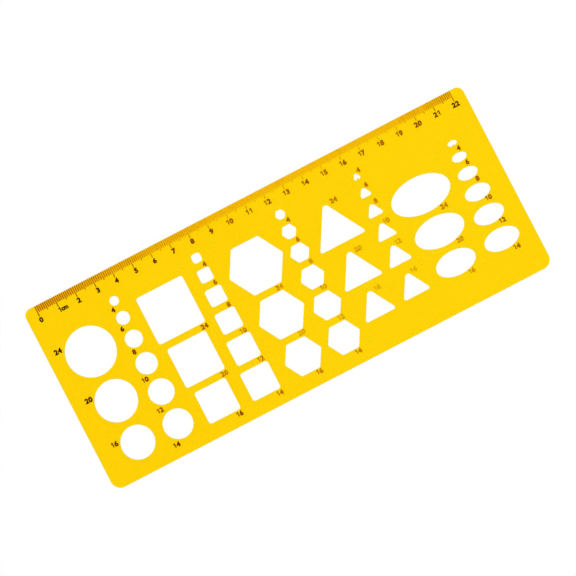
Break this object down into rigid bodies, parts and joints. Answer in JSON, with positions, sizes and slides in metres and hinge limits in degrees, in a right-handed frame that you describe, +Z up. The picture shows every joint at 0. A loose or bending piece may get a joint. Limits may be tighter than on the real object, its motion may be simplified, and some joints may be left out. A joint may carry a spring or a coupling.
{
  "type": "geometric drawing template",
  "caption": "Flat rectangular drawing template of clear tinted plastic, with circles, squares, hexagons, triangles and ellipses to draw through and a centimetre scale along one long edge.",
  "frame": {"origin": "under the middle of the plate, on the surface that it lies on", "axes": "+X along the scale from its 0 end, +Y towards the scale's edge, +Z up out of the printed face"},
  "size_m": [0.2324, 0.0952, 0.0012],
  "materials": {
    "tinted_plastic": "injection-moulded clear plastic with an amber-yellow tint, glossy",
    "print_ink": "dark printing ink, satin, thinning to brown in the middle of the scale"
  },
  "bodies": {
    "root": {"template_plate": "tinted_plastic", "centimetre_line_00": "print_ink", "millimetre_lines_00_to_01": "print_ink", "centimetre_line_01": "print_ink", "millimetre_lines_01_to_02": "print_ink", "centimetre_line_02": "print_ink", "millimetre_lines_02_to_03": "print_ink", "centimetre_line_03": "print_ink", "millimetre_lines_03_to_04": "print_ink", "centimetre_line_04": "print_ink", "millimetre_lines_04_to_05": "print_ink", "centimetre_line_05": "print_ink", "millimetre_lines_05_to_06": "print_ink", "centimetre_line_06": "print_ink", "millimetre_lines_06_to_07": "print_ink", "centimetre_line_07": "print_ink", "millimetre_lines_07_to_08": "print_ink", "centimetre_line_08": "print_ink", "millimetre_lines_08_to_09": "print_ink", "centimetre_line_09": "print_ink", "millimetre_lines_09_to_10": "print_ink", "centimetre_line_10": "print_ink", "millimetre_lines_10_to_11": "print_ink", "centimetre_line_11": "print_ink", "millimetre_lines_11_to_12": "print_ink", "centimetre_line_12": "print_ink", "millimetre_lines_12_to_13": "print_ink", "centimetre_line_13": "print_ink", "millimetre_lines_13_to_14": "print_ink", "centimetre_line_14": "print_ink", "millimetre_lines_14_to_15": "print_ink", "centimetre_line_15": "print_ink", "millimetre_lines_15_to_16": "print_ink", "centimetre_line_16": "print_ink", "millimetre_lines_16_to_17": "print_ink", "centimetre_line_17": "print_ink", "millimetre_lines_17_to_18": "print_ink", "centimetre_line_18": "print_ink", "millimetre_lines_18_to_19": "print_ink", "centimetre_line_19": "print_ink", "millimetre_lines_19_to_20": "print_ink", "centimetre_line_20": "print_ink", "millimetre_lines_20_to_21": "print_ink", "centimetre_line_21": "print_ink", "millimetre_lines_21_to_22": "print_ink", "centimetre_line_22": "print_ink"}
  },
  "joints": []
}
